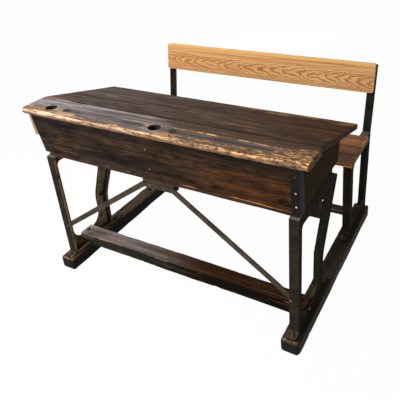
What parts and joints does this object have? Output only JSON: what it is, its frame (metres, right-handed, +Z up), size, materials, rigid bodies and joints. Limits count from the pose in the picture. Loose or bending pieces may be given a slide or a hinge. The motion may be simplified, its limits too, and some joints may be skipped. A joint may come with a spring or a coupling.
{
  "type": "school desk with lift lid",
  "caption": "Two-seat wooden school desk with a sloping lift lid, pen ledge with inkwell holes, cast-iron end frames, flat-iron brace, foot rail and attached bench with a back.",
  "frame": {"origin": "floor level, midway along the desk and midway between the runners' front ends and the back posts' tops", "axes": "+X along the desk to the right of someone facing its front, +Y from the desk to the bench, +Z up"},
  "size_m": [1.128, 0.9402, 0.7422],
  "materials": {
    "dark_wood": "worn dark stain",
    "tan_wood": "bare worn wood",
    "runner_wood": "dark worn wood",
    "seat_wood": "worn reddish stain",
    "pine": "clear golden pine",
    "cast_iron": "old dull casting",
    "flat_iron": "dull flat bar",
    "steel": "dulled steel"
  },
  "bodies": {
    "desk": {"box_front_panel": "dark_wood", "box_back_panel": "dark_wood", "box_end_left": "dark_wood", "box_end_right": "dark_wood", "box_bottom_board": "dark_wood", "box_divider": "dark_wood", "pen_ledge": "dark_wood", "ledge_cleat_left": "tan_wood", "brace_block": "tan_wood", "runner_left": "runner_wood", "runner_right": "runner_wood", "foot_rail": "runner_wood", "rear_stretcher": "runner_wood", "seat_plank": "seat_wood", "backrest_plank": "pine", "desk_standard_left": "cast_iron", "desk_standard_right": "cast_iron", "bench_standard_left": "cast_iron", "bench_standard_right": "cast_iron", "cross_brace": "flat_iron", "corner_strap_right": "flat_iron", "hinge_ledge_leaves": "steel", "hinge_pins": "steel", "hinge_ledge_screws": "steel", "standard_foot_bolts": "steel", "bench_foot_bolts": "steel", "box_screws": "steel", "seat_screws": "steel", "back_screws": "steel", "brace_bolts": "steel", "brace_screws": "steel", "foot_rail_bolts": "steel", "strap_nails": "steel", "divider_nails": "steel"},
    "lid": {"lid_front_board": "dark_wood", "lid_middle_board": "dark_wood", "lid_back_board": "dark_wood", "lid_batten_left": "dark_wood", "lid_batten_right": "dark_wood", "hinge_lid_leaves": "steel", "hinge_lid_screws": "steel", "lid_batten_screws": "steel"}
  },
  "joints": [
    {"name": "lid_lift", "type": "hinge", "parent": "desk", "child": "lid", "pos_m": [0, -0.33968, 0.739], "axis": [1, 0, 0], "range_deg": [0, 110]}
  ]
}
